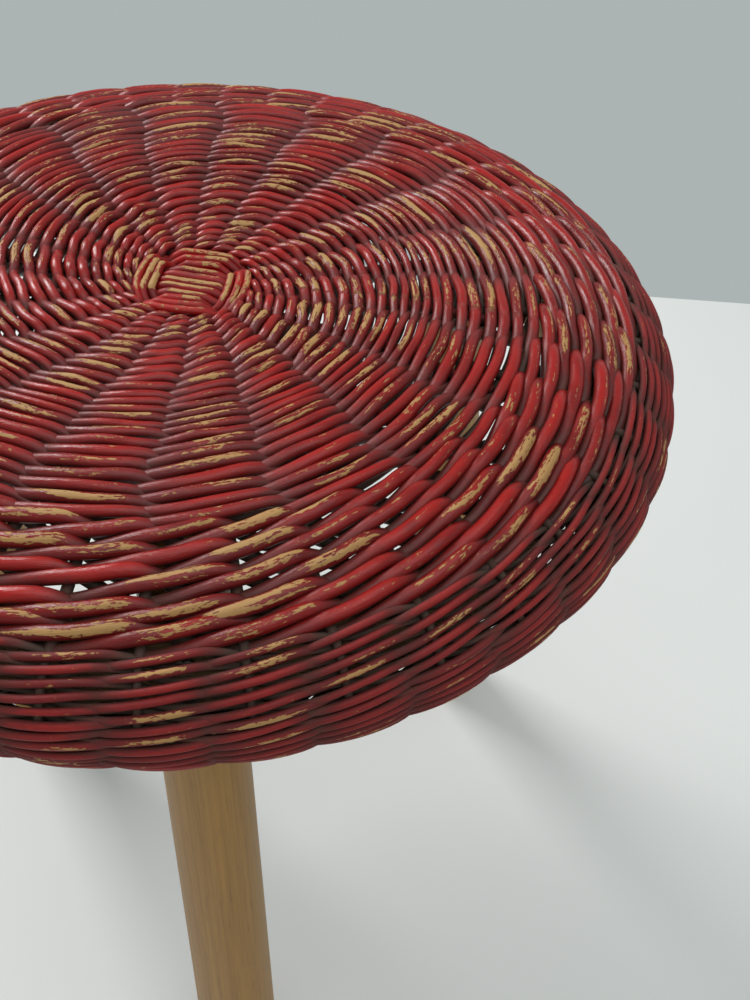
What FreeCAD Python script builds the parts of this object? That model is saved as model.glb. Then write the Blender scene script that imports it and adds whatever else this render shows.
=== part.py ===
"""Round woven stool: a domed seat of painted willow rods on three splayed, turned wooden legs.

A bent hoop inside the seat carries the weave, and the three legs are notched and nailed to it.
The weave is laid round two crossed sets of sticks at the centre, and round forty stakes on the
shoulder and the side. Each woven band is a pair of lays, one over the stakes and one under them.

The origin is on the floor below the centre of the seat, +Z is up and the front leg is on the -Y
side. Lengths are in millimetres and angles in degrees.
"""
import FreeCAD, Part
import Sketcher
import math
import os

from FreeCAD import Vector

DIMENSIONS = (
    ("seat_radius", 185.0, "widest radius of the woven seat"),
    ("shoulder_height", 400.0, "floor to the highest ring of the seat"),
    ("crown_radius", 114.7, "radius of that highest ring"),
    ("crown_dip", 8.2, "sag of the centre of the seat below that ring"),
    ("shoulder_drop", 33.6, "highest ring down to the widest radius"),
    ("shoulder_fullness", 2.2, "superellipse exponent of the shoulder"),
    ("skirt_drop", 56.5, "highest ring down to the lower edge of the side weave"),
    ("skirt_inset", 11.5, "how far the lower edge lies inside the widest radius"),
    ("lay_thickness", 3.6, "one lay of rods over or under the stakes"),
    ("stake_gap", 4.6, "space that the stakes fill between the two lays"),
    ("stick_diameter", 3.7, "sticks of the centre cross"),
    ("stick_spacing", 3.8, "between neighbouring sticks in the cross"),
    ("stick_reach", 122.0, "centre to the end of a stick"),
    ("cross_half_width", 12.0, "half of the straight part of a stick"),
    ("stake_diameter", 3.8, "stakes of the shoulder and side"),
    ("stake_start", 106.0, "distance along the seat's surface to the stakes' inner ends"),
    ("crown_start", 26.0, "distance along the surface to the first crown row"),
    ("shoulder_start", 117.5, "distance along the surface to the first shoulder row"),
    ("side_start", 182.0, "distance along the surface to the first side row"),
    ("row_clearance", 0.3, "between one woven band and the next"),
    ("border_inner_radius", 150.5, "inner edge of the plaited border"),
    ("border_height", 6.0, "thickness of the border"),
    ("hoop_outer_radius", 157.0, "bent hoop inside the seat"),
    ("hoop_thickness", 14.0, "radial thickness of the hoop"),
    ("hoop_top_drop", 20.0, "highest ring down to the top of the hoop"),
    ("hoop_width", 36.0, "height of the hoop's section"),
    ("hoop_chamfer", 2.0, "broken edges of the hoop"),
    ("leg_top_drop", 21.0, "highest ring down to the top of a leg"),
    ("leg_top_radius", 14.6, "leg radius where its axis meets the level of its top"),
    ("leg_foot_radius", 19.4, "leg radius where its axis meets the floor"),
    ("leg_top_circle", 128.8, "seat axis to a leg's axis at the level of its top"),
    ("leg_splay", 5.5, "lean of each leg away from the seat axis"),
    ("leg_azimuth", 278.5, "direction of the front leg, from +X towards +Y"),
    ("leg_overrun", 12.0, "length of leg blank beyond each cut end"),
    ("nail_radius", 1.6, "shank of a leg nail"),
    ("nail_length", 30.0, "shank of a leg nail, from the hoop's outer face"),
    ("nail_head_radius", 3.6, "head of a leg nail"),
    ("nail_head_height", 1.4, "head of a leg nail"),
    ("nail_spread", 16.0, "height between the two nails of a leg"),
    ("tack_radius", 0.9, "shank of a border tack"),
    ("tack_length", 15.0, "shank of a border tack, from the border's lower face"),
    ("tack_head_radius", 2.4, "head of a border tack"),
    ("tack_head_height", 0.8, "head of a border tack"),
    ("tack_circle", 153.6, "radius of the circle of border tacks"),
)
LEG_COUNT = 3
LEG_NAMES = ("leg_front", "leg_rear_right", "leg_rear_left")
STICKS_PER_SET = 5
STICK_STEP_DEGREES = 18.0
STAKE_COUNT = 40
STAKE_STEP_DEGREES = 9.0
STAKE_OFFSET_DEGREES = 4.5
TACK_COUNT = 12
TACK_OFFSET_DEGREES = 23.5
PROFILE_STEPS = 400
BAND_POINT_SPACING = 8.0
STICK_RUN = 24.0
STAKE_RUN = 8.0
ARC_SHARE = 0.45
VOLUME_TOLERANCE = 0.02
STRAIGHT_ENOUGH = 1e-3

document = FreeCAD.newDocument("woven_stool")


def make_sheet():
    """The spreadsheet of driving dimensions, one alias to a row."""
    sheet = document.addObject("Spreadsheet::Sheet", "dims")
    for row, (alias, value, note) in enumerate(DIMENSIONS, start=1):
        sheet.set(f"A{row}", note)
        sheet.set(f"B{row}", str(value))
        sheet.setAlias(f"B{row}", alias)
    document.recompute()
    return sheet


sheet = make_sheet()


def dim(alias):
    """The value of one cell of the sheet."""
    return float(sheet.get(alias))


def seat_outline():
    """Outer surface of the seat in section, centre to lower edge, as (radius, height) points."""
    top = dim("shoulder_height")
    crown = dim("crown_radius")
    width = dim("seat_radius") - crown
    power = 2.0 / dim("shoulder_fullness")
    skirt = dim("skirt_drop") - dim("shoulder_drop")
    points = []
    for step in range(PROFILE_STEPS):
        radius = crown * step / PROFILE_STEPS
        sag = dim("crown_dip") * (1.0 + math.cos(math.pi * radius / crown)) / 2.0
        points.append((radius, top - sag))
    for step in range(PROFILE_STEPS):
        angle = math.pi / 2.0 * step / PROFILE_STEPS
        radius = crown + width * math.sin(angle) ** power
        drop = dim("shoulder_drop") * (1.0 - math.cos(angle) ** power)
        points.append((radius, top - drop))
    for step in range(PROFILE_STEPS + 1):
        share = step / PROFILE_STEPS
        radius = dim("seat_radius") - dim("skirt_inset") * share ** 2
        points.append((radius, top - dim("shoulder_drop") - skirt * share))
    return points


class SeatSection:
    """The seat's outer surface by distance along it, and the layers below that surface."""

    def __init__(self, points):
        self.points = points
        self.distances = [0.0]
        for (r0, z0), (r1, z1) in zip(points, points[1:]):
            self.distances.append(self.distances[-1] + math.hypot(r1 - r0, z1 - z0))
        self.length = self.distances[-1]

    def surface(self, distance):
        """The (radius, height) of the surface at a distance along it."""
        distance = min(max(distance, 0.0), self.length)
        low = 0
        high = len(self.distances) - 1
        while high - low > 1:
            middle = (low + high) // 2
            if self.distances[middle] <= distance:
                low = middle
            else:
                high = middle
        share = (distance - self.distances[low]) / (self.distances[high] - self.distances[low])
        (r0, z0), (r1, z1) = self.points[low], self.points[high]
        return r0 + share * (r1 - r0), z0 + share * (z1 - z0)

    def below(self, distance, depth):
        """The (radius, height) of a point at a depth below the surface, square to it."""
        window = dim("stake_gap")
        r0, z0 = self.surface(distance - window)
        r1, z1 = self.surface(distance + window)
        length = math.hypot(r1 - r0, z1 - z0)
        radius, height = self.surface(distance)
        return radius + depth * (z1 - z0) / length, height - depth * (r1 - r0) / length


section = SeatSection(seat_outline())


def add_shape(name, shape):
    """Put a finished solid, or a set of like solids, in the document under its file name."""
    feature = document.addObject("Part::Feature", name)
    feature.Label = name
    feature.Shape = shape
    feature.Placement = FreeCAD.Placement()
    return feature


def woven_lay(name, start, end, depth):
    """One lay of a woven band: a closed ring between two depths below the seat's surface."""
    count = max(4, round((end - start) / BAND_POINT_SPACING) + 1)
    edges = []
    ends = []
    for layer in (depth, depth + dim("lay_thickness")):
        points = []
        for index in range(count):
            radius, height = section.below(start + (end - start) * index / (count - 1), layer)
            points.append(Vector(radius, 0.0, height))
        curve = Part.BSplineCurve()
        curve.interpolate(points)
        edges.append(curve.toShape())
        ends.append((points[0], points[-1]))
    edges.append(Part.makeLine(ends[0][0], ends[1][0]))
    edges.append(Part.makeLine(ends[0][1], ends[1][1]))
    face = Part.Face(Part.Wire(Part.__sortEdges__(edges)))
    ring = face.revolve(Vector(), Vector(0.0, 0.0, 1.0), 360.0)
    return add_shape(name, ring)


def rounded_path(points):
    """A wire of straight runs joined by tangent arcs, and its length."""
    edges = []
    cursor = points[0]
    for before, corner, after in zip(points, points[1:], points[2:]):
        incoming = (corner - before).normalize()
        outgoing = (after - corner).normalize()
        turn = incoming.getAngle(outgoing)
        if turn < STRAIGHT_ENOUGH:
            continue
        reach = ARC_SHARE * min((corner - before).Length, (after - corner).Length)
        first = corner - incoming * reach
        last = corner + outgoing * reach
        inward = (outgoing - incoming).normalize()
        radius = reach / math.tan(turn / 2.0)
        middle = corner + inward * (radius / math.cos(turn / 2.0) - radius)
        edges.append(Part.makeLine(cursor, first))
        edges.append(Part.Arc(first, middle, last).toShape())
        cursor = last
    edges.append(Part.makeLine(cursor, points[-1]))
    wire = Part.Wire(edges)
    return wire, sum(edge.Length for edge in edges)


def rod(points, diameter):
    """A round rod along a rounded path, with its volume checked against its length."""
    wire, length = rounded_path(points)
    direction = (points[1] - points[0]).normalize()
    ring = Part.Wire(Part.makeCircle(diameter / 2.0, points[0], direction))
    solid = wire.makePipeShell([ring], True, False)
    expected = math.pi * (diameter / 2.0) ** 2 * length
    if abs(solid.Volume - expected) > VOLUME_TOLERANCE * expected:
        raise ValueError(f"rod volume {solid.Volume:.1f} differs from {expected:.1f}")
    return solid


def stick_points(offset, direction, cross_depth):
    """Half of a cross stick, from its straight middle outwards, for a stick that lies along X."""
    depth = dim("lay_thickness") + dim("stake_gap") / 2.0
    _, height = section.below(dim("cross_half_width"), cross_depth)
    points = [Vector(dim("cross_half_width"), offset, height)]
    distance = dim("crown_start")
    angle = math.radians(direction)
    while distance < dim("stick_reach") + STICK_RUN / 2.0:
        radius, height = section.below(min(distance, dim("stick_reach")), depth)
        points.append(Vector(radius * math.cos(angle), radius * math.sin(angle), height))
        distance += STICK_RUN
    return points


def cross_sticks(name, turn, cross_depth):
    """One set of parallel sticks of the centre cross, fanned out into spokes at both ends."""
    solids = []
    middle = (STICKS_PER_SET - 1) / 2.0
    for index in range(STICKS_PER_SET):
        offset = (index - middle) * dim("stick_spacing")
        half = stick_points(offset, (index - middle) * STICK_STEP_DEGREES, cross_depth)
        other = [Vector(-point.x, point.y, point.z) for point in reversed(half)]
        solid = rod(other + half, dim("stick_diameter"))
        solid.rotate(Vector(), Vector(0.0, 0.0, 1.0), turn)
        solids.append(solid)
    return add_shape(name, Part.makeCompound(solids))


def side_stakes():
    """Forty stakes that start beside the spokes and run over the shoulder to the lower edge."""
    depth = dim("lay_thickness") + dim("stake_gap") / 2.0
    start = dim("stake_start")
    end = section.length - dim("row_clearance")
    runs = round((end - start) / STAKE_RUN)
    points = []
    for index in range(runs + 1):
        radius, height = section.below(start + (end - start) * index / runs, depth)
        points.append(Vector(radius, 0.0, height))
    stake = rod(points, dim("stake_diameter"))
    solids = []
    for index in range(STAKE_COUNT):
        solid = stake.copy()
        angle = STAKE_OFFSET_DEGREES + STAKE_STEP_DEGREES * index
        solid.rotate(Vector(), Vector(0.0, 0.0, 1.0), angle)
        solids.append(solid)
    return add_shape("side_stakes", Part.makeCompound(solids))


def bind(feature, **expressions):
    """Tie properties of a document object to the sheet."""
    for name, expression in expressions.items():
        feature.setExpression(name, expression)


def primitive(kind, label, **expressions):
    """A Part primitive whose properties are tied to the sheet."""
    feature = document.addObject(f"Part::{kind}", label)
    feature.Label = label
    bind(feature, **expressions)
    return feature


def boolean(kind, label, base, tool):
    """A two-shape Part boolean."""
    feature = document.addObject(f"Part::{kind}", label)
    feature.Label = label
    feature.Base = base
    feature.Tool = tool
    return feature


def ring_body(label, corners):
    """A PartDesign body: a closed section in the XZ plane, constrained to the sheet and revolved.

    Each corner is a pair of expressions, for its radius and its height.
    """
    body = document.addObject("PartDesign::Body", label)
    body.Label = label
    sketch = body.newObject("Sketcher::SketchObject", label + "_section")
    plane = next(item for item in body.Origin.OriginFeatures if item.Role == "XZ_Plane")
    sketch.AttachmentSupport = (plane, "")
    sketch.MapMode = "FlatFace"
    document.recompute()
    starts = []
    for radius, height in corners:
        starts.append(Vector(sheet.evalExpression(radius), sheet.evalExpression(height), 0.0))
    for index, start in enumerate(starts):
        following = starts[(index + 1) % len(starts)]
        sketch.addGeometry(Part.LineSegment(start, following), False)
    for index in range(len(corners)):
        following = (index + 1) % len(corners)
        sketch.addConstraint(Sketcher.Constraint("Coincident", index, 2, following, 1))
    for index, (radius, height) in enumerate(corners):
        start = starts[index]
        across = sketch.addConstraint(Sketcher.Constraint("DistanceX", -1, 1, index, 1, start.x))
        sketch.setExpression(f"Constraints[{across}]", radius)
        upward = sketch.addConstraint(Sketcher.Constraint("DistanceY", -1, 1, index, 1, start.y))
        sketch.setExpression(f"Constraints[{upward}]", height)
    document.recompute()
    revolution = body.newObject("PartDesign::Revolution", label + "_ring")
    revolution.Profile = sketch
    revolution.ReferenceAxis = (sketch, ["V_Axis"])
    revolution.Angle = 360.0
    document.recompute()
    return body


def hoop_blank():
    """The bent hoop before it is drilled, with its edges broken."""
    outer = "dims.hoop_outer_radius"
    inner = "dims.hoop_outer_radius - dims.hoop_thickness"
    top = "dims.shoulder_height - dims.hoop_top_drop"
    foot = top + " - dims.hoop_width"
    cut = "dims.hoop_chamfer"
    corners = (
        (f"{inner} + {cut}", foot),
        (f"{outer} - {cut}", foot),
        (outer, f"{foot} + {cut}"),
        (outer, f"{top} - {cut}"),
        (f"{outer} - {cut}", top),
        (f"{inner} + {cut}", top),
        (inner, f"{top} - {cut}"),
        (inner, f"{foot} + {cut}"),
    )
    return ring_body("hoop_blank", corners)


def border_blank():
    """The plaited border under the hoop and the side weave, before it is tacked."""
    outer = "dims.seat_radius - dims.skirt_inset"
    inner = "dims.border_inner_radius"
    top = "dims.shoulder_height - dims.skirt_drop - dims.row_clearance"
    foot = top + " - dims.border_height"
    cut = "dims.border_height / 3"
    corners = (
        (f"{inner} + {cut}", foot),
        (f"{outer} - 2 * {cut}", foot),
        (f"{outer} - {cut} / 2", f"{top} - {cut}"),
        (outer, top),
        (inner, top),
        (inner, f"{foot} + {cut}"),
    )
    return ring_body("border_blank", corners)


def turned_about_axis(feature, azimuth, radius, height, pitch):
    """Place a primitive at an azimuth and radius about the seat's axis, pitched from upright."""
    feature.setExpression(
        "Placement",
        f"create(<<placement>>; create(<<vector>>; ({radius}) * cos({azimuth}); "
        f"({radius}) * sin({azimuth}); {height}); "
        f"create(<<rotation>>; {azimuth}; {pitch}; 0))",
    )


def headed_pin(label, parts, azimuth, radius, height, pitch, head_side):
    """A shank and a flat head that share an axis: a nail or a tack, as one solid."""
    shank_radius, shank_length, head_radius, head_height = parts
    shank = primitive("Cylinder", label + "_shank", Radius=shank_radius, Height=shank_length)
    head = primitive("Cylinder", label + "_head", Radius=head_radius, Height=head_height)
    turned_about_axis(shank, azimuth, radius, height, pitch)
    if head_side == "outward":
        turned_about_axis(head, azimuth, f"{radius} + {head_height}", height, pitch)
    else:
        turned_about_axis(head, azimuth, radius, f"{height} - {head_height}", pitch)
    return boolean("Fuse", label, shank, head)


def leg_nails():
    """Two nails for each leg, driven inwards through the hoop."""
    parts = ("dims.nail_radius", "dims.nail_length", "dims.nail_head_radius", "dims.nail_head_height")
    middle = "dims.shoulder_height - dims.hoop_top_drop - dims.hoop_width / 2"
    nails = []
    for leg in range(LEG_COUNT):
        for side in (-1, 1):
            nails.append(headed_pin(
                f"nail_{leg}_{'low' if side < 0 else 'high'}",
                parts,
                f"(dims.leg_azimuth + {leg * 360 / LEG_COUNT}) * 1 deg",
                "dims.hoop_outer_radius",
                f"{middle} + {side} * dims.nail_spread / 2",
                "-90",
                "outward",
            ))
    return compound("leg_nails", nails)


def border_tacks():
    """Twelve tacks driven up through the border into the hoop, clear of the legs."""
    parts = ("dims.tack_radius", "dims.tack_length", "dims.tack_head_radius", "dims.tack_head_height")
    face = "dims.shoulder_height - dims.skirt_drop - dims.row_clearance - dims.border_height"
    tacks = []
    for index in range(TACK_COUNT):
        tacks.append(headed_pin(
            f"tack_{index}",
            parts,
            f"{TACK_OFFSET_DEGREES + index * 360 / TACK_COUNT} deg",
            "dims.tack_circle",
            face,
            "0",
            "downward",
        ))
    return compound("border_tacks", tacks)


def compound(label, links):
    """Like pieces kept together as separate solids."""
    feature = document.addObject("Part::Compound", label)
    feature.Label = label
    feature.Links = links
    return feature


def leg(label, index, hoop_envelope, nails):
    """A tapered leg: a leaning cone, cut level at the floor and the top, notched for the hoop."""
    azimuth = f"(dims.leg_azimuth + {index * 360 / LEG_COUNT}) * 1 deg"
    rise = "(dims.shoulder_height - dims.leg_top_drop)"
    splay = "(dims.leg_splay * 1 deg)"
    length = f"({rise} / cos({splay}))"
    taper = f"((dims.leg_foot_radius - dims.leg_top_radius) / {length})"
    blank = primitive(
        "Cone",
        label + "_blank",
        Radius1=f"dims.leg_foot_radius + {taper} * dims.leg_overrun",
        Radius2=f"dims.leg_top_radius - {taper} * dims.leg_overrun",
        Height=f"{length} + 2 * dims.leg_overrun",
    )
    foot_circle = (
        f"dims.leg_top_circle + {rise} * tan({splay}) + dims.leg_overrun * sin({splay})"
    )
    turned_about_axis(
        blank, azimuth, foot_circle, f"-dims.leg_overrun * cos({splay})", "-dims.leg_splay"
    )
    level = primitive(
        "Cylinder", label + "_levels", Radius="2 * dims.seat_radius", Height=rise
    )
    cut_level = boolean("Common", label + "_cut_level", blank, level)
    notched = boolean("Cut", label + "_notched", cut_level, hoop_envelope)
    return boolean("Cut", label, notched, nails)


def main():
    """Build every piece, check it and write its STEP file."""
    gap = dim("row_clearance") / 2.0
    inner = dim("lay_thickness") + dim("stake_gap")
    bands = (
        ("crown_weave", dim("crown_start"), dim("shoulder_start") - gap),
        ("shoulder_wale", dim("shoulder_start") + gap, dim("side_start") - gap),
        ("side_weave", dim("side_start") + gap, section.length),
    )
    pieces = []
    for name, start, end in bands:
        pieces.append(woven_lay(name + "_outer", start, end, 0.0))
        pieces.append(woven_lay(name + "_inner", start, end, inner))
    half = dim("stick_diameter") / 2.0
    pieces.append(cross_sticks("cross_sticks_upper", 0.0, half))
    pieces.append(cross_sticks("cross_sticks_lower", 90.0, inner - half))
    pieces.append(side_stakes())
    nails = leg_nails()
    tacks = border_tacks()
    blank = hoop_blank()
    drilled = boolean("Cut", "hoop_drilled", blank, nails)
    pieces.append(boolean("Cut", "frame_hoop", drilled, tacks))
    pieces.append(boolean("Cut", "plaited_border", border_blank(), tacks))
    pieces.append(nails)
    pieces.append(tacks)
    for index, name in enumerate(LEG_NAMES):
        pieces.append(leg(name, index, blank, nails))
    document.recompute()
    check(pieces)
    write(pieces)


def check(pieces):
    """Stop if any document object failed or any piece is missing or broken."""
    for item in document.Objects:
        if "Invalid" in item.State or "Error" in item.State:
            raise ValueError(f"{item.Label} did not compute: {item.State}")
    for piece in pieces:
        if piece.Shape.isNull() or not piece.Shape.isValid() or not piece.Shape.Solids:
            raise ValueError(f"{piece.Label} has no valid solid")
        print(f"{piece.Label}: {len(piece.Shape.Solids)} solid(s), {piece.Shape.Volume:.0f} mm3")


def write(pieces):
    """Write one STEP file for each piece."""
    os.makedirs("parts", exist_ok=True)
    for piece in pieces:
        piece.Shape.exportStep(os.path.join("parts", piece.Label + ".step"))


main()
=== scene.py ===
"""Looks of the round woven stool: painted willow rods on stakes, three wooden legs, a hoop inside.

Everything is in metres and in the frame's own axes: the floor is at zero, +Z is up, and the front
leg is on the -Y side. A place on the seat is given by the distance along its section from the
centre, the azimuth from +X, and the depth below the outer surface.
"""

import math

import bpy
import numpy as np
from mathutils import Matrix, Vector


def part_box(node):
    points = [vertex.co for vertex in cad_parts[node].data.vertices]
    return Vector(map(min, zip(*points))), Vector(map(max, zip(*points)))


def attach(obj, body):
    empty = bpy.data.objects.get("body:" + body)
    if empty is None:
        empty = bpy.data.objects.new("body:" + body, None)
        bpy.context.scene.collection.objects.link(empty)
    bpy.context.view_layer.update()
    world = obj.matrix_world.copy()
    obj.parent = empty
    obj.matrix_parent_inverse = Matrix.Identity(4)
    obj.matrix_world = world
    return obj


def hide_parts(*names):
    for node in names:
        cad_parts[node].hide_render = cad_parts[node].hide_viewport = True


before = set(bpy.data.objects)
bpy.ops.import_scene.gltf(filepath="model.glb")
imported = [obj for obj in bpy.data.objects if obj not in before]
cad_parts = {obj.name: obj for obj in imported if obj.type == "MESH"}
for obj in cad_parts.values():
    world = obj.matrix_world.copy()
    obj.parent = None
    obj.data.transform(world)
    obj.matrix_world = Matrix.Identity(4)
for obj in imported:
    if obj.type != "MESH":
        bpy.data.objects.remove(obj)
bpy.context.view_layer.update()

MM = 0.001
TAU = 2.0 * math.pi
SEED = 20

# The seat's section.
SEAT_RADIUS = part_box("side_weave_outer")[1][0]
SHOULDER_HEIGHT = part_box("shoulder_wale_outer")[1][2]
CROWN_SHARE = 0.62
CROWN_RADIUS = CROWN_SHARE * SEAT_RADIUS
CROWN_DIP = 8.2 * MM
SHOULDER_DROP = 33.6 * MM
SHOULDER_FULLNESS = 2.2
SKIRT_DROP = SHOULDER_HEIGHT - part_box("side_weave_outer")[0][2]
SKIRT_INSET = 11.5 * MM
BORDER_INNER_RADIUS = 0.1515
BORDER_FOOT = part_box("plaited_border")[0][2]
BORDER_BEND = 6.0 * MM

OUTLINE_STEPS = 400
NORMAL_WINDOW = 3.0 * MM

# Spokes and stakes. Every other stake follows a spoke; the turns are from +X.
SPOKE_COUNT = 20
STAKE_COUNT = 40
SPOKE_STEP = TAU / SPOKE_COUNT
STAKE_STEP = TAU / STAKE_COUNT
SPOKE_TURN = math.radians(-4.0)
CROSS_TURN = math.radians(-8.0)
SPOKE_RADIUS = 1.9 * MM
STAKE_RADIUS = 2.0 * MM
STAKE_START = 0.106
SPOKE_END = 0.124


def seat_outline():
    """Outer surface of the seat in section, centre to the border's inner edge."""
    share = np.linspace(0.0, 1.0, OUTLINE_STEPS, endpoint=False)
    crown_r = CROWN_RADIUS * share
    crown_z = SHOULDER_HEIGHT - CROWN_DIP * (1.0 + np.cos(math.pi * share)) / 2.0
    power = 2.0 / SHOULDER_FULLNESS
    angle = share * math.pi / 2.0
    shoulder_r = CROWN_RADIUS + (SEAT_RADIUS - CROWN_RADIUS) * np.sin(angle) ** power
    shoulder_z = SHOULDER_HEIGHT - SHOULDER_DROP * (1.0 - np.cos(angle) ** power)
    skirt_r = SEAT_RADIUS - SKIRT_INSET * share ** 2
    skirt_z = SHOULDER_HEIGHT - SHOULDER_DROP - (SKIRT_DROP - SHOULDER_DROP) * share
    edge_r = SEAT_RADIUS - SKIRT_INSET
    edge_z = SHOULDER_HEIGHT - SKIRT_DROP
    bend_r = edge_r - BORDER_BEND * (1.0 - np.cos(angle))
    bend_z = edge_z - (edge_z - BORDER_FOOT) * np.sin(angle)
    border_r = (edge_r - BORDER_BEND) + (BORDER_INNER_RADIUS - edge_r + BORDER_BEND) * share
    border_z = np.full_like(share, BORDER_FOOT)
    radius = np.concatenate([crown_r, shoulder_r, skirt_r, bend_r, border_r])
    height = np.concatenate([crown_z, shoulder_z, skirt_z, bend_z, border_z])
    return radius, height


class SeatSurface:
    """The seat's outer surface, by distance along its section; edge is where the side ends."""

    def __init__(self):
        self.radius, self.height = seat_outline()
        steps = np.hypot(np.diff(self.radius), np.diff(self.height))
        self.distance = np.concatenate([[0.0], np.cumsum(steps)])
        self.length = self.distance[-1]
        self.edge = self.distance[3 * OUTLINE_STEPS]

    def section(self, distance):
        """Radius and height at a distance along the section."""
        return (
            np.interp(distance, self.distance, self.radius),
            np.interp(distance, self.distance, self.height),
        )

    def place(self, distance, azimuth, depth):
        """Points at a depth below the surface, and the outward normals there."""
        r_before, z_before = self.section(distance - NORMAL_WINDOW)
        r_after, z_after = self.section(distance + NORMAL_WINDOW)
        along_r = r_after - r_before
        along_z = z_after - z_before
        length = np.hypot(along_r, along_z)
        normal_r = -along_z / length
        normal_z = along_r / length
        radius, height = self.section(distance)
        cosine, sine = np.cos(azimuth), np.sin(azimuth)
        inner_r = radius - depth * normal_r
        points = np.stack([inner_r * cosine, inner_r * sine, height - depth * normal_z], axis=-1)
        normals = np.stack([normal_r * cosine, normal_r * sine, normal_z], axis=-1)
        return points, normals


surface = SeatSurface()


class Rods:
    """Round rods gathered into one mesh, with the attributes that their material reads.

    rod_along and rod_around are lengths along and around a rod, rod_rise is the height of a point
    over the middle of the weave (about -1 inside to 1 outside), and rod_tone is a random number for
    each visible stroke. span is the height that counts as 1.
    """

    def __init__(self, sides):
        self.sides = sides
        self.vertices = []
        self.faces = []
        self.attributes = {"rod_along": [], "rod_around": [], "rod_rise": [], "rod_tone": []}
        self.count = 0

    def add(self, centres, normals, radii, rise, span, tone, start=0.0, closed=False):
        """Add one rod along its centre line; its radii, rise and tone may vary along it."""
        total = len(centres)
        radii = np.broadcast_to(np.asarray(radii, float), total)
        rise = np.broadcast_to(np.asarray(rise, float), total)
        tone = np.broadcast_to(np.asarray(tone, float), total)
        span = np.broadcast_to(np.asarray(span, float), total)[:, None]
        if closed:
            tangents = np.roll(centres, -1, axis=0) - np.roll(centres, 1, axis=0)
        else:
            tangents = np.gradient(centres, axis=0)
        tangents /= np.linalg.norm(tangents, axis=1, keepdims=True)
        across = np.cross(tangents, normals)
        across /= np.linalg.norm(across, axis=1, keepdims=True)
        outward = np.cross(across, tangents)
        angles = -math.pi / 2.0 + TAU * np.arange(self.sides) / self.sides
        ring = (
            np.cos(angles)[None, :, None] * across[:, None, :]
            + np.sin(angles)[None, :, None] * outward[:, None, :]
        )
        points = centres[:, None, :] + radii[:, None, None] * ring
        steps = np.linalg.norm(np.diff(centres, axis=0), axis=1)
        along = start + np.concatenate([[0.0], np.cumsum(steps)])
        around = (angles + math.pi / 2.0)[None, :] * radii[:, None]
        height = (rise[:, None] + radii[:, None] * np.sin(angles)[None, :]) / span
        self.vertices.append(points.reshape(-1, 3))
        self.attributes["rod_along"].append(np.repeat(along, self.sides))
        self.attributes["rod_around"].append(around.reshape(-1))
        self.attributes["rod_rise"].append(height.reshape(-1))
        self.attributes["rod_tone"].append(np.repeat(tone, self.sides))
        self.join_rings(total, closed)
        self.count += total * self.sides

    def join_rings(self, total, closed):
        """Faces between the rings of the rod that was just added, and its two end caps."""
        rings = total if closed else total - 1
        ring = np.arange(rings)[:, None]
        side = np.arange(self.sides)[None, :]
        following = (ring + 1) % total
        beside = (side + 1) % self.sides
        corners = [ring * self.sides + side, ring * self.sides + beside,
                   following * self.sides + beside, following * self.sides + side]
        quads = np.stack([np.broadcast_to(corner, (rings, self.sides)) for corner in corners], -1)
        self.faces.extend((quads.reshape(-1, 4) + self.count).tolist())
        if not closed:
            first = self.count + np.arange(self.sides)
            last = first + (total - 1) * self.sides
            self.faces.append(first[::-1].tolist())
            self.faces.append(last.tolist())

    def build(self, name, material, replaced=()):
        """Make the object, ride it on the root body and hide the nodes it stands for."""
        mesh = bpy.data.meshes.new(name)
        mesh.from_pydata(np.concatenate(self.vertices).tolist(), [], self.faces)
        for key, values in self.attributes.items():
            layer = mesh.attributes.new(key, "FLOAT", "POINT")
            layer.data.foreach_set("value", np.concatenate(values).astype(np.float32))
        mesh.polygons.foreach_set("use_smooth", [True] * len(mesh.polygons))
        mesh.materials.append(material)
        piece = bpy.data.objects.new(name, mesh)
        bpy.context.scene.collection.objects.link(piece)
        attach(piece, "root")
        if replaced:
            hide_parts(*replaced)
        return piece


def wander(rng, azimuth, size, waves=5):
    """A smooth closed wobble round the seat, about as large as size."""
    total = np.zeros_like(azimuth)
    for wave in range(1, waves + 1):
        total += rng.normal() * np.sin(wave * azimuth + rng.uniform(0.0, TAU)) / math.sqrt(waves)
    return size * total


def smooth(value, low, high):
    """Smooth step from 0 at low to 1 at high."""
    share = np.clip((value - low) / (high - low), 0.0, 1.0)
    return share * share * (3.0 - 2.0 * share)


def cycle(samples, phase):
    """Smooth periodic curve through evenly spaced samples; phase is in turns."""
    count = len(samples)
    waves = np.fft.rfft(samples) / count
    value = np.full_like(phase, waves[0].real)
    for order in range(1, len(waves)):
        weight = 1.0 if 2 * order == count else 2.0
        turn = np.exp(1j * TAU * order * phase)
        value += weight * (waves[order] * turn).real
    return value


def stroke_tones(rng, turns, count):
    """One random number for each visible stroke, held over the stroke."""
    values = rng.uniform(0.0, 1.0, count)
    return values[np.floor(turns).astype(int) % count]


ROW_SAMPLES = 12


def row_azimuths(step):
    """Azimuths of a paired row's points, before the row's own turn."""
    return np.arange(round(TAU / step) * ROW_SAMPLES) / ROW_SAMPLES * step


# One rod of a pair over two stakes: it comes up late, stays high over the first and dives
# under the second, while it leans in towards the centre of the seat.
PAIR_RISE = (0.28, 0.76, 0.97, 1.0, 0.82, 0.02, -1.0, -0.6)
PAIR_SHIFT = (0.46, 0.28, 0.03, -0.22, -0.46, -0.42, 0.0, 0.42)


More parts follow.
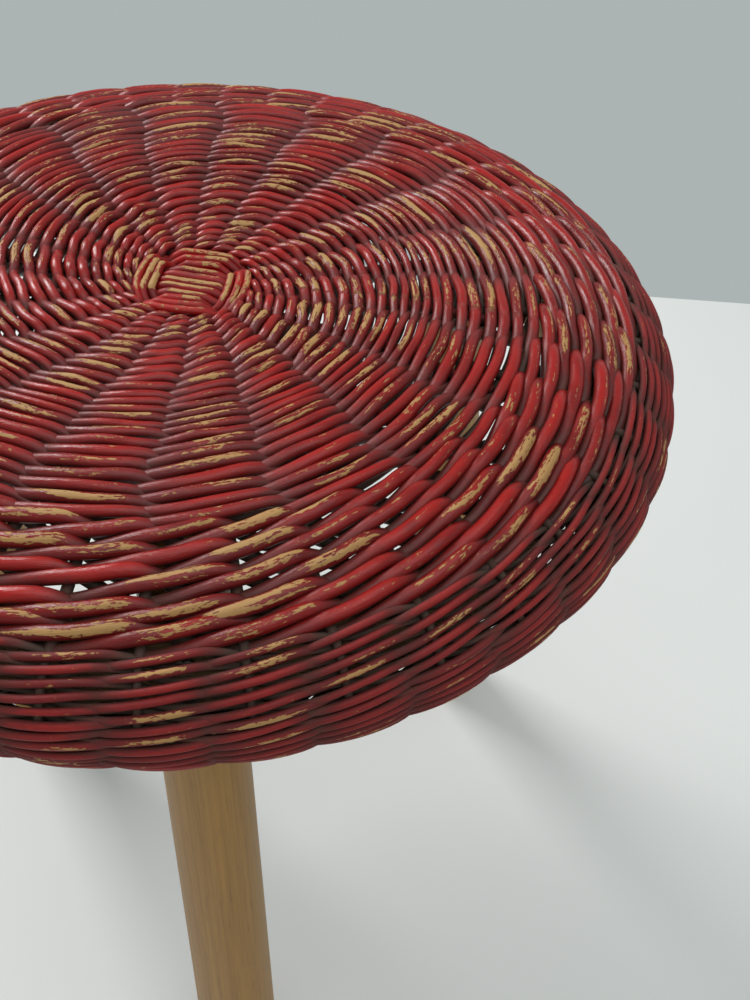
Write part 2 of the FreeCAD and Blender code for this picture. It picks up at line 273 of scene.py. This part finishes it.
def paired_row(rods, rng, distance, pitch, rod_radius, step, turn, stake_radius, lag=0.0):
    """One row of pairing: two rods that twist round each other, with a stake between each twist.

    distance, pitch and rod_radius are numbers, or arrays over row_azimuths(step).
    """
    count = round(TAU / step)
    units = row_azimuths(step) / step
    reach = stake_radius + rod_radius
    base = units * step
    wobble = wander(rng, base, 0.035 * pitch, 7)
    lean = wander(rng, base, 0.004)
    slack = wander(rng, base, 0.12 * MM, 9)
    shift = rng.normal(0.0, 0.015)
    for member in range(2):
        phase = (units + member) / 2.0 + 0.25 + shift
        rise = cycle(np.array(PAIR_RISE), phase)
        own = wander(rng, base, 0.075 * pitch, 29)
        loose = wander(rng, base, 0.05 * pitch, 29)
        depth = rod_radius + reach * (1.0 - rise) + slack + loose + 0.1 * MM
        along = distance + wobble + own + pitch * cycle(np.array(PAIR_SHIFT), phase)
        centres, normals = surface.place(along, base + turn + lag + lean, depth)
        girth = rod_radius * (1.0 + wander(rng, base, 0.05, 11))
        tone = stroke_tones(rng, phase + 0.125, count)
        rods.add(centres, normals, girth, reach * rise, reach + rod_radius, tone,
                 rng.uniform(0.0, 9.0), closed=True)


# Pitch of the crown rows at a few distances from the centre: fine, thick, fine and thick again.
CROWN_PITCH_STOPS = (24.0, 40.0, 58.0, 69.0, 80.0, 88.0, 101.0, 113.0)
CROWN_PITCHES = (3.7, 5.1, 5.3, 4.6, 3.8, 3.9, 5.2, 5.6)
CROWN_START = 24.5
CROWN_END = 113.0
ROD_SHARE_OF_PITCH = 0.4


def crown_rows():
    """Each crown row as (distance along the seat, pitch to the next row, rod radius), in metres."""
    rows = []
    distance = CROWN_START
    while distance < CROWN_END:
        pitch = float(np.interp(distance, CROWN_PITCH_STOPS, CROWN_PITCHES))
        rows.append((distance, pitch, ROD_SHARE_OF_PITCH * pitch))
        distance += pitch
    return np.array(rows) * MM


CROWN_ROWS = crown_rows()
SEAM_LAG = math.radians(-4.0)


def seam_lag(distance):
    """How far the strokes fall behind the inner ones, as the spokes lean a little."""
    return SEAM_LAG * np.clip((distance - 0.03) / 0.085, 0.0, 1.0)


def crown_weave(material):
    """Paired rows round the twenty spokes of the crown."""
    rng = np.random.default_rng(SEED + 1)
    rods = Rods(10)
    for distance, pitch, radius in CROWN_ROWS:
        paired_row(rods, rng, distance, pitch, radius, SPOKE_STEP, SPOKE_TURN, SPOKE_RADIUS,
                   seam_lag(distance))
    return rods.build("crown_weave", material,
                      ("crown_weave_outer", "crown_weave_inner"))


WALE_START = 127.2 * MM
WALE_PITCH = 8.8 * MM
WALE_TURNS = 5
WALE_HALF_WIDTH = 4.2 * MM
WALE_RODS = 3
WALE_ROD_RADIUS = 2.3 * MM
WALE_SAMPLES = 8
WALE_END_SHARE = 0.65
WALE_FIRST_STAKE = 15
# One rod of the wale over three stakes: up over two of them and down under the third.
WALE_RISE = (-0.1, 0.62, 0.98, 1.08, 0.5, -1.0)
WALE_SHIFT = (0.5, 0.28, 0.0, -0.27, -0.47, -0.03)
WALE_TURN = SPOKE_TURN + SEAM_LAG + STAKE_STEP / 2.0
SPIRAL_STEP_SHARE = 0.03
TRANSITION_COUNT = 3
TRANSITION_ROD_SHARE = 0.44


def wale_rows(turns):
    """How many pitches out the spiral has come after some turns, with short ends."""
    inner = 1.0 - WALE_END_SHARE * (1.0 - turns)
    outer = (WALE_TURNS - 1) + WALE_END_SHARE * (turns - WALE_TURNS + 1)
    return np.where(turns < 1.0, inner, np.where(turns > WALE_TURNS - 1, outer, turns))


def spiral_share(azimuth):
    """Share of a turn since the spiral's start, brought back to 0 just before the next start."""
    share = (azimuth - WALE_TURN - WALE_FIRST_STAKE * STAKE_STEP) / TAU % 1.0
    back = 1.0 - smooth(share, 1.0 - SPIRAL_STEP_SHARE, 1.0)
    return share * back


def filled_rows(rods, rng, inner, outer, count, step, turn, stake_radius, rod_share):
    """Paired rows that share out the space between two edges, which may vary round the seat."""
    pitch = (outer - inner) / count
    for row in range(count):
        radius = rod_share * pitch * rng.uniform(0.92, 1.08)
        paired_row(rods, rng, inner + (row + 0.5) * pitch, pitch, radius, step, turn, stake_radius)


def shoulder_wale(material):
    """The thick rods of the shoulder: three paired rows, then a three-rod wale in a long spiral."""
    rng = np.random.default_rng(SEED + 2)
    rods = Rods(12)
    turn = SPOKE_TURN + SEAM_LAG
    share = spiral_share(row_azimuths(SPOKE_STEP) + turn)
    inner = CROWN_ROWS[-1, 0] + CROWN_ROWS[-1, 1] / 2.0
    outer = WALE_START + WALE_PITCH * wale_rows(share) - WALE_HALF_WIDTH
    filled_rows(rods, rng, inner, outer, TRANSITION_COUNT, SPOKE_STEP, turn, SPOKE_RADIUS,
                TRANSITION_ROD_SHARE)
    units = np.arange(WALE_TURNS * STAKE_COUNT * WALE_SAMPLES) / WALE_SAMPLES
    base = (units + WALE_FIRST_STAKE) * STAKE_STEP
    turns = units / STAKE_COUNT
    rows = wale_rows(turns)
    reach = STAKE_RADIUS + WALE_ROD_RADIUS
    wobble = wander(rng, turns * 2.3, 0.4 * MM, 9)
    slack = wander(rng, turns * 9.7, 0.3 * MM, 12)
    for member in range(WALE_RODS):
        phase = (units + member) / WALE_RODS
        rise = cycle(np.array(WALE_RISE), phase)
        shift = cycle(np.array(WALE_SHIFT), phase)
        depth = WALE_ROD_RADIUS + reach * (1.06 - rise) + slack + 0.1 * MM
        own = wander(rng, turns * 3.1 + member, 0.45 * MM, 30)
        along = WALE_START + WALE_PITCH * (rows + shift) + wobble + own
        girth = WALE_ROD_RADIUS * (1.0 + wander(rng, turns * 4.7, 0.07, 9))
        ends = np.clip(np.minimum(units, units[-1] - units) / 6.0, 0.0, 1.0)
        girth = girth * (0.35 + 0.65 * np.sqrt(ends))
        azimuth = base + WALE_TURN
        centres, normals = surface.place(along, azimuth, depth + (1.0 - ends) * reach)
        tone = stroke_tones(rng, phase + 1.0 / 6.0, 400)
        rods.add(centres, normals, girth, reach * rise, reach + WALE_ROD_RADIUS, tone,
                 rng.uniform(0.0, 9.0))
    return rods.build("shoulder_wale", material,
                      ("shoulder_wale_outer", "shoulder_wale_inner"))


SIDE_PITCH = 3.9 * MM
SIDE_ROD_SHARE = 0.32
SIDE_STAKE_RADIUS = 1.4 * MM


def side_weave(material):
    """Thin paired rows below the wale, down to the border."""
    rng = np.random.default_rng(SEED + 3)
    rods = Rods(8)
    share = spiral_share(row_azimuths(STAKE_STEP) + WALE_TURN)
    inner = WALE_START + WALE_PITCH * wale_rows(WALE_TURNS - 1 + share) + WALE_HALF_WIDTH
    count = round((surface.edge - float(np.mean(inner))) / SIDE_PITCH)
    filled_rows(rods, rng, inner, surface.edge, count, STAKE_STEP, WALE_TURN, SIDE_STAKE_RADIUS,
                SIDE_ROD_SHARE)
    return rods.build("side_weave", material,
                      ("side_weave_outer", "side_weave_inner"))


BORDER_PITCH = 4.6 * MM
BORDER_ROD_SHARE = 0.36
BORDER_CORE_RADIUS = 0.5 * MM


def plaited_border(material):
    """The border under the seat: closed rounds of paired rods, from the edge in to the hoop."""
    rng = np.random.default_rng(SEED + 4)
    rods = Rods(8)
    inner = np.full(len(row_azimuths(STAKE_STEP)), surface.edge)
    count = round((surface.length - surface.edge) / BORDER_PITCH)
    filled_rows(rods, rng, inner, surface.length, count, STAKE_STEP, WALE_TURN,
                BORDER_CORE_RADIUS, BORDER_ROD_SHARE)
    return rods.build("plaited_border", material, ("plaited_border",))


# Depth and radius of a stake's middle at a few distances: thick and deep under the wale, thinner
# and nearer the surface in the side.
STAKE_DISTANCES = np.array([STAKE_START, 0.13, 0.166, 0.174, surface.edge])
STAKE_DEPTHS = np.array([6.8, 6.8, 6.6, 3.7, 3.6]) * MM
STAKE_RADII = np.array([1.7, 2.0, 1.9, 1.4, 1.3]) * MM


def side_stakes(material):
    """Forty stakes, from beside the spokes over the shoulder and down to the border."""
    rng = np.random.default_rng(SEED + 5)
    rods = Rods(8)
    distance = np.linspace(STAKE_START, surface.edge + 1.0 * MM, 60)
    for index in range(STAKE_COUNT):
        azimuth = SPOKE_TURN + SEAM_LAG + STAKE_STEP * (index + 0.5) + rng.normal(0.0, 0.004)
        depth = np.interp(distance, STAKE_DISTANCES, STAKE_DEPTHS)
        girth = np.interp(distance, STAKE_DISTANCES, STAKE_RADII) * rng.uniform(0.9, 1.0)
        centres, normals = surface.place(distance, np.full_like(distance, azimuth), depth)
        rods.add(centres, normals, girth, 0.0, 6.0 * MM, rng.uniform(), rng.uniform(0.0, 9.0))
    return rods.build("side_stakes", material, ("side_stakes",))


CROSS_PITCH = 3.7 * MM
CROSS_ROD_RADIUS = 1.86 * MM
CROSS_STRAIGHT = 12.5 * MM
FAN_END = 32.0 * MM
STICKS_PER_SET = 5
UPPER_DEPTH = 2.3 * MM
LOWER_DEPTH = 6.2 * MM


def spoke_depth(distance):
    """Depth of a spoke's middle, which lies just under the rods that pass over it."""
    return np.interp(distance, CROWN_ROWS[:, 0], 2.0 * CROWN_ROWS[:, 2] + SPOKE_RADIUS + 0.1 * MM)


def cross_sticks(name, material, quarter, centre_depth, replaced, rng):
    """Five parallel sticks through the centre, each fanned out into a spoke at both ends."""
    rods = Rods(10)
    middle = (STICKS_PER_SET - 1) / 2.0
    straight = np.linspace(0.0, CROSS_STRAIGHT, 10)
    beyond = np.linspace(0.0, 1.0, 70)[1:]
    for index in range(STICKS_PER_SET):
        offset = (index - middle) * CROSS_PITCH + rng.normal(0.0, 0.12 * MM)
        corner = math.hypot(CROSS_STRAIGHT, offset)
        outside = corner + (SPOKE_END - corner) * beyond
        distance = np.concatenate([np.hypot(straight, offset), outside])
        fan = smooth(distance, corner, FAN_END)
        start = np.arctan2(offset, np.maximum(straight, 1e-6))
        azimuth = np.concatenate([start, np.full(len(beyond), start[-1])])
        azimuth = azimuth * (1.0 - fan) + (index - middle) * SPOKE_STEP * fan
        turn = CROSS_TURN * (1.0 - fan) + SPOKE_TURN * fan + quarter
        lean = seam_lag(distance)
        down = smooth(distance, 9.0 * MM, 15.0 * MM)
        depth = centre_depth * (1.0 - down) + spoke_depth(distance) * down
        rise = (6.0 * MM - centre_depth) * (1.0 - down)
        halves = []
        for mirrored in (True, False):
            angle = (math.pi - azimuth if mirrored else azimuth) + turn + lean
            halves.append(surface.place(distance, angle, depth))
        centres = np.concatenate([halves[0][0][:0:-1], halves[1][0]])
        normals = np.concatenate([halves[0][1][:0:-1], halves[1][1]])
        height = np.concatenate([rise[:0:-1], rise])
        girth = CROSS_ROD_RADIUS * rng.uniform(0.95, 1.03)
        rods.add(centres, normals, girth, height, 6.0 * MM, rng.uniform(0.6, 1.0),
                 rng.uniform(0.0, 9.0))
    return rods.build(name, material, replaced)


# Rounds that bind the cross, as half sizes along the upper and the lower sticks.
BINDING_ROUNDS = ((14.0, 11.3), (17.2, 14.8), (20.4, 18.4))
BINDING_ROD_RADIUS = 1.6 * MM
BINDING_DEPTH = 5.4 * MM
BINDING_REACH = 3.7 * MM
BINDING_TWIST = 0.8 * MM
BINDING_SAMPLES = 160


def cross_binding(material):
    """Rounds that bind the cross: one rod over each arm and one under it, turn about."""
    rng = np.random.default_rng(SEED + 6)
    rods = Rods(10)
    angle = TAU * np.arange(BINDING_SAMPLES) / BINDING_SAMPLES
    for order, (along_upper, along_lower) in enumerate(BINDING_ROUNDS):
        squareness = 5.0 - 1.1 * order
        reach = (np.abs(np.cos(angle) / along_upper) ** squareness
                 + np.abs(np.sin(angle) / along_lower) ** squareness) ** (-1.0 / squareness) * MM
        for member in range(2):
            over = np.clip(1.7 * np.cos(2.0 * angle + math.pi * member), -1.0, 1.0)
            depth = BINDING_DEPTH - BINDING_REACH * over
            twist = BINDING_TWIST * np.sin(2.0 * angle + member * math.pi)
            distance = reach + wander(rng, angle, 0.2 * MM) - twist
            centres, normals = surface.place(distance, angle + CROSS_TURN, depth)
            tone = stroke_tones(rng, angle / (math.pi / 2.0) + member, 8)
            rods.add(centres, normals, BINDING_ROD_RADIUS, BINDING_REACH * over,
                     BINDING_REACH + BINDING_ROD_RADIUS, tone,
                     rng.uniform(0.0, 9.0), closed=True)
    return rods.build("cross_binding", material)


def srgb(red, green, blue):
    """A linear colour from 0 to 255 display values."""
    linear = []
    for value in (red, green, blue):
        share = value / 255.0
        linear.append(share / 12.92 if share <= 0.04045 else ((share + 0.055) / 1.055) ** 2.4)
    return (*linear, 1.0)


class Shader:
    """A node material round one Principled shader, with short names for the nodes used here."""

    def __init__(self, name):
        self.material = bpy.data.materials.new(name)
        self.material.use_nodes = True
        self.tree = self.material.node_tree
        self.surface = self.tree.nodes["Principled BSDF"]

    def node(self, kind, inputs=(), **settings):
        """A node with its settings, and its inputs given as values or as other nodes' outputs."""
        node = self.tree.nodes.new(kind)
        for key, value in settings.items():
            setattr(node, key, value)
        for key, value in dict(inputs).items():
            self.feed(value, node.inputs[key])
        return node

    def feed(self, value, socket):
        """Link an output to a socket, or set the socket's own value."""
        if isinstance(value, bpy.types.NodeSocket):
            self.tree.links.new(value, socket)
        else:
            socket.default_value = value

    def attribute(self, name):
        """A number stored on the mesh."""
        return self.node("ShaderNodeAttribute", attribute_name=name).outputs["Fac"]

    def math(self, operation, first, second=0.0, third=0.0):
        """A maths node."""
        values = {0: first, 1: second, 2: third}
        return self.node("ShaderNodeMath", values, operation=operation).outputs[0]

    def vector(self, along, around, other):
        """Three numbers as one vector."""
        return self.node("ShaderNodeCombineXYZ", {0: along, 1: around, 2: other}).outputs[0]

    def noise(self, vector, scale=1.0, detail=2.0, roughness=0.5):
        """Noise from 0 to 1 at a place."""
        inputs = {"Vector": vector, "Scale": scale, "Detail": detail, "Roughness": roughness}
        return self.node("ShaderNodeTexNoise", inputs).outputs["Fac"]

    def step(self, value, low, high, first=0.0, last=1.0):
        """Smooth step from first to last as a value goes from low to high."""
        inputs = {"Value": value, "From Min": low, "From Max": high,
                  "To Min": first, "To Max": last}
        return self.node("ShaderNodeMapRange", inputs, interpolation_type="SMOOTHSTEP").outputs[0]

    def blend(self, factor, first, second, mode="MIX"):
        """Mix of two colours."""
        node = self.node("ShaderNodeMix", data_type="RGBA", blend_type=mode)
        self.feed(factor, node.inputs[0])
        self.feed(first, node.inputs[6])
        self.feed(second, node.inputs[7])
        return node.outputs[2]

    def bump(self, height, distance, strength=1.0):
        """Send a height in metres times distance to the shader as relief."""
        inputs = {"Height": height, "Distance": distance, "Strength": strength}
        node = self.node("ShaderNodeBump", inputs)
        self.feed(node.outputs[0], self.surface.inputs["Normal"])


PAINT_BRIGHT = srgb(172, 16, 6)
PAINT_DEEP = srgb(104, 12, 12)
# The two dusty colours below are dust darkened further, as painted shade for the hollows of the
# weave and the lower sides of the rods.
PAINT_DUSTY_AND_SHADED = srgb(92, 28, 26)
DUST_AND_SHADE = srgb(80, 64, 54)
BARE_LIGHT = srgb(206, 158, 100)
BARE_DARK = srgb(140, 88, 46)
BARE_STAINED = srgb(146, 132, 66)
RAW_WILLOW = srgb(118, 80, 52)


def painted_willow(name, wear, dust_and_shade, gloss=0.12):
    """Painted willow: glossy red on the crests, worn to bare wood in streaks, and dulled with dust
    and with painted shade in the hollows and on the rods' lower sides.

    The first two amounts shift how much of a rod is worn bare, and how much is dulled by dust and
    by painted shade; gloss is the paint's roughness.
    """
    shader = Shader(name)
    shader.surface.inputs["Specular IOR Level"].default_value = 0.4
    along = shader.attribute("rod_along")
    around = shader.attribute("rod_around")
    rise = shader.attribute("rod_rise")
    tone = shader.attribute("rod_tone")

    def rod_noise(along_scale, around_scale, detail, roughness=0.5, tone_scale=43.0):
        place = shader.vector(shader.math("MULTIPLY", along, along_scale),
                              shader.math("MULTIPLY", around, around_scale),
                              shader.math("MULTIPLY", tone, tone_scale))
        return shader.noise(place, detail=detail, roughness=roughness)

    streak = rod_noise(38.0, 520.0, 2.0)
    ragged = rod_noise(420.0, 1300.0, 3.0, 0.65)
    grain = rod_noise(120.0, 4200.0, 2.0)
    cloud = rod_noise(90.0, 160.0, 3.0, tone_scale=91.0)

    crest = shader.step(rise, 0.7, 1.0)
    amount = shader.math("MULTIPLY_ADD", shader.math("SUBTRACT", ragged, 0.5), 0.85, streak)
    amount = shader.math("MULTIPLY_ADD", crest, 0.42, amount)
    amount = shader.math("MULTIPLY_ADD", tone, 0.36, amount)
    bare = shader.step(amount, 1.2 - wear, 1.235 - wear)

    shade = shader.math("MULTIPLY_ADD", tone, 0.4, shader.math("SUBTRACT", cloud, 0.2))
    paint = shader.blend(shader.step(shade, 0.1, 0.9), PAINT_BRIGHT, PAINT_DEEP)
    hollow = shader.math("MULTIPLY_ADD", shader.math("SUBTRACT", cloud, 0.5), 0.5, rise)
    hollow = shader.math("MULTIPLY_ADD", shader.math("SUBTRACT", ragged, 0.5), 0.4, hollow)
    # Painted shade: the lower a point sits in the weave, the more it turns dusty and dark, darkened
    # past real dust to stand in for the shade in the hollows and on the rods' lower sides.
    dusty_and_shaded = shader.step(hollow, 0.42 + dust_and_shade, 0.98 + dust_and_shade, 0.95, 0.0)
    paint = shader.blend(dusty_and_shaded, paint, PAINT_DUSTY_AND_SHADED)
    grey = shader.step(hollow, -0.1 + dust_and_shade, 0.66 + dust_and_shade, 0.92, 0.0)
    paint = shader.blend(grey, paint, DUST_AND_SHADE)
    wood = shader.blend(grain, BARE_DARK, BARE_LIGHT)
    wood = shader.blend(shader.math("MULTIPLY", cloud, 0.35), wood, BARE_STAINED)
    colour = shader.blend(bare, paint, wood)
    inside = shader.step(hollow, -1.15, -0.85, 0.9, 0.0)
    colour = shader.blend(inside, colour, shader.blend(grain, RAW_WILLOW, BARE_DARK))
    shader.feed(colour, shader.surface.inputs["Base Color"])

    rough = shader.math("MULTIPLY_ADD", dusty_and_shaded, 0.32, gloss)
    rough = shader.math("MULTIPLY_ADD", ragged, 0.12, rough)
    rough = shader.math("MAXIMUM", rough, shader.math("MULTIPLY", bare, 0.58))
    shader.feed(rough, shader.surface.inputs["Roughness"])
    relief = shader.math("MULTIPLY_ADD", bare, -0.5, shader.math("MULTIPLY", ragged, 0.5))
    relief = shader.math("MULTIPLY_ADD", grain, 0.35, relief)
    shader.bump(relief, 0.3 * MM, 0.8)
    return shader.material


def leg_wood(name, azimuth, splay):
    """Old golden wood with its grain along a leaning leg."""
    shader = Shader(name)
    shader.surface.inputs["Roughness"].default_value = 0.5
    place = shader.node("ShaderNodeTexCoord").outputs["Object"]
    turned = shader.node("ShaderNodeVectorRotate", {"Vector": place, "Angle": -azimuth},
                         rotation_type="Z_AXIS").outputs[0]
    upright = shader.node("ShaderNodeVectorRotate", {"Vector": turned, "Angle": splay},
                          rotation_type="Y_AXIS").outputs[0]

    def stretched(across, along):
        scale = (across, across, along)
        node = shader.node("ShaderNodeVectorMath", {0: upright, 1: scale}, operation="MULTIPLY")
        return node.outputs[0]

    grain = shader.noise(stretched(380.0, 5.0), detail=4.0, roughness=0.6)
    fibre = shader.noise(stretched(1100.0, 22.0), detail=3.0, roughness=0.6)
    patches = shader.noise(stretched(30.0, 9.0), detail=3.0)
    pores = shader.step(shader.noise(stretched(900.0, 60.0), detail=1.0), 0.62, 0.72)
    colour = shader.blend(shader.step(grain, 0.2, 0.8), srgb(170, 124, 52), srgb(146, 102, 40))
    colour = shader.blend(shader.step(fibre, 0.4, 0.8, 0.0, 0.35), colour, srgb(118, 80, 36))
    colour = shader.blend(shader.step(patches, 0.45, 0.75, 0.0, 0.5), colour, srgb(146, 112, 56))
    colour = shader.blend(shader.math("MULTIPLY", pores, 0.22), colour, srgb(84, 58, 32))
    shader.feed(colour, shader.surface.inputs["Base Color"])
    shader.bump(shader.math("ADD", grain, fibre), 0.3 * MM, 0.5)
    return shader.material


def hoop_wood(name):
    """Raw bent wood with its grain round the hoop."""
    shader = Shader(name)
    shader.surface.inputs["Roughness"].default_value = 0.62
    place = shader.node("ShaderNodeTexCoord").outputs["Object"]
    parts = shader.node("ShaderNodeSeparateXYZ", {0: place}).outputs
    radius = shader.math("SQRT", shader.math("ADD", shader.math("MULTIPLY", parts[0], parts[0]),
                                             shader.math("MULTIPLY", parts[1], parts[1])))
    azimuth = shader.math("ARCTAN2", parts[1], parts[0])
    vector = shader.vector(shader.math("MULTIPLY", azimuth, 1.6),
                           shader.math("MULTIPLY", radius, 400.0),
                           shader.math("MULTIPLY", parts[2], 400.0))
    grain = shader.noise(vector, detail=4.0, roughness=0.6)
    colour = shader.blend(shader.step(grain, 0.3, 0.7), srgb(172, 134, 88), srgb(128, 92, 56))
    shader.feed(colour, shader.surface.inputs["Base Color"])
    shader.bump(grain, 0.3 * MM, 0.5)
    return shader.material


def nail_steel(name):
    """Dull wire nails with a little rust."""
    shader = Shader(name)
    shader.surface.inputs["Metallic"].default_value = 1.0
    place = shader.node("ShaderNodeTexCoord").outputs["Object"]
    rust = shader.noise(place, 900.0, 4.0, 0.65)
    colour = shader.blend(shader.step(rust, 0.5, 0.65), srgb(150, 146, 140), srgb(112, 70, 44))
    shader.feed(colour, shader.surface.inputs["Base Color"])
    shader.feed(shader.step(rust, 0.45, 0.7, 0.38, 0.8), shader.surface.inputs["Roughness"])
    shader.bump(rust, 0.1 * MM, 0.5)
    return shader.material


def plain(name, colour, roughness):
    """A studio surface with a faint mottle."""
    shader = Shader(name)
    shader.surface.inputs["Roughness"].default_value = roughness
    place = shader.node("ShaderNodeTexCoord").outputs["Object"]
    mottle = shader.step(shader.noise(place, 3.0, 3.0), 0.3, 0.7, 0.0, 0.06)
    colour = shader.blend(mottle, colour, srgb(190, 190, 188))
    shader.feed(colour, shader.surface.inputs["Base Color"])
    return shader.material


def repaint(node, material):
    """Give a CAD node's object a finished material."""
    piece = bpy.data.objects[node]
    for slot in piece.material_slots:
        slot.material = material


LEG_AZIMUTHS = {"leg_front": 278.5, "leg_rear_right": 38.5, "leg_rear_left": 158.5}
LEG_SPLAY = 5.5


def finish_carried_over_nodes():
    """Materials of the CAD nodes that stay: legs, hoop, nails and tacks."""
    for node, azimuth in LEG_AZIMUTHS.items():
        wood = leg_wood("wood_" + node, math.radians(azimuth), math.radians(LEG_SPLAY))
        repaint(node, wood)
    repaint("frame_hoop", hoop_wood("bent_hoop_wood"))
    steel = nail_steel("dull_nail_steel")
    repaint("leg_nails", steel)
    repaint("border_tacks", steel)


def weave_seat():
    """Every woven piece of the seat."""
    crown = painted_willow("painted_willow_crown", wear=0.04, dust_and_shade=0.1)
    wale = painted_willow("painted_willow_wale", wear=0.01, dust_and_shade=0.12)
    side = painted_willow("painted_willow_side", wear=-0.02, dust_and_shade=0.2, gloss=0.4)
    cross = painted_willow("painted_willow_cross", wear=0.16, dust_and_shade=-0.35, gloss=0.4)
    rng = np.random.default_rng(SEED)
    crown_weave(crown)
    shoulder_wale(wale)
    side_weave(side)
    plaited_border(side)
    side_stakes(side)
    cross_sticks("cross_sticks_upper", cross, 0.0, UPPER_DEPTH, ("cross_sticks_upper",), rng)
    cross_sticks("cross_sticks_lower", cross, math.pi / 2.0, LOWER_DEPTH,
                 ("cross_sticks_lower",), rng)
    cross_binding(cross)


SENSOR_WIDTH = 36.0
CAMERA_LENS = 36.0
CAMERA_DISTANCE = 0.457
CAMERA_ELEVATION = math.radians(46.8)
CAMERA_ROLL = math.radians(4.15)
CAMERA_AIM = Vector((0.0742, 0.0, SHOULDER_HEIGHT - 0.1218))


def place_camera():
    """The camera at the photograph's angle."""
    data = bpy.data.cameras.new("camera")
    data.sensor_fit = "AUTO"
    data.sensor_width = SENSOR_WIDTH
    data.lens = CAMERA_LENS
    data.clip_start = 0.01
    camera = bpy.data.objects.new("camera", data)
    bpy.context.scene.collection.objects.link(camera)
    bpy.context.scene.camera = camera
    back = Vector((0.0, -math.cos(CAMERA_ELEVATION), math.sin(CAMERA_ELEVATION)))
    right = Vector((1.0, 0.0, 0.0))
    upward = back.cross(right)
    across = math.cos(CAMERA_ROLL) * right + math.sin(CAMERA_ROLL) * upward
    upward = math.cos(CAMERA_ROLL) * upward - math.sin(CAMERA_ROLL) * right
    turn = Matrix((across, upward, back)).transposed()
    camera.matrix_world = Matrix.Translation(CAMERA_AIM + CAMERA_DISTANCE * back) @ turn.to_4x4()


TABLE_FAR_EDGE = 0.585
TABLE_NEAR_EDGE = -2.2
TABLE_HALF_WIDTH = 2.5


def build_stage():
    """A pale table top that ends behind the stool, before a plain grey studio."""
    mesh = bpy.data.meshes.new("table_top")
    corners = [(-TABLE_HALF_WIDTH, TABLE_NEAR_EDGE, 0.0), (TABLE_HALF_WIDTH, TABLE_NEAR_EDGE, 0.0),
               (TABLE_HALF_WIDTH, TABLE_FAR_EDGE, 0.0), (-TABLE_HALF_WIDTH, TABLE_FAR_EDGE, 0.0)]
    mesh.from_pydata(corners, [], [(0, 1, 2, 3)])
    mesh.materials.append(plain("pale_table", srgb(232, 232, 230), 0.6))
    table = bpy.data.objects.new("table_top", mesh)
    bpy.context.scene.collection.objects.link(table)


def area_light(name, position, target, size, power):
    """A square soft light aimed at a point."""
    data = bpy.data.lights.new(name, "AREA")
    data.shape = "SQUARE"
    data.size = size
    data.energy = power
    light = bpy.data.objects.new(name, data)
    light.location = position
    light.rotation_euler = (Vector(target) - Vector(position)).to_track_quat("-Z", "Y").to_euler()
    bpy.context.scene.collection.objects.link(light)


def light_studio():
    """Soft daylight from above, and an even grey studio."""
    scene = bpy.context.scene
    scene.view_settings.view_transform = "Standard"
    world = bpy.data.worlds.new("studio")
    world.use_nodes = True
    background = world.node_tree.nodes["Background"]
    background.inputs["Color"].default_value = srgb(180, 188, 188)
    background.inputs["Strength"].default_value = 0.9
    scene.world = world
    centre = (0.0, 0.0, 0.35)
    area_light("window", (-0.8, 0.75, 1.3), centre, 0.5, 14.0)
    area_light("ceiling", (0.3, -0.3, 1.9), centre, 1.8, 11.5)


weave_seat()
finish_carried_over_nodes()
place_camera()
build_stage()
light_studio()
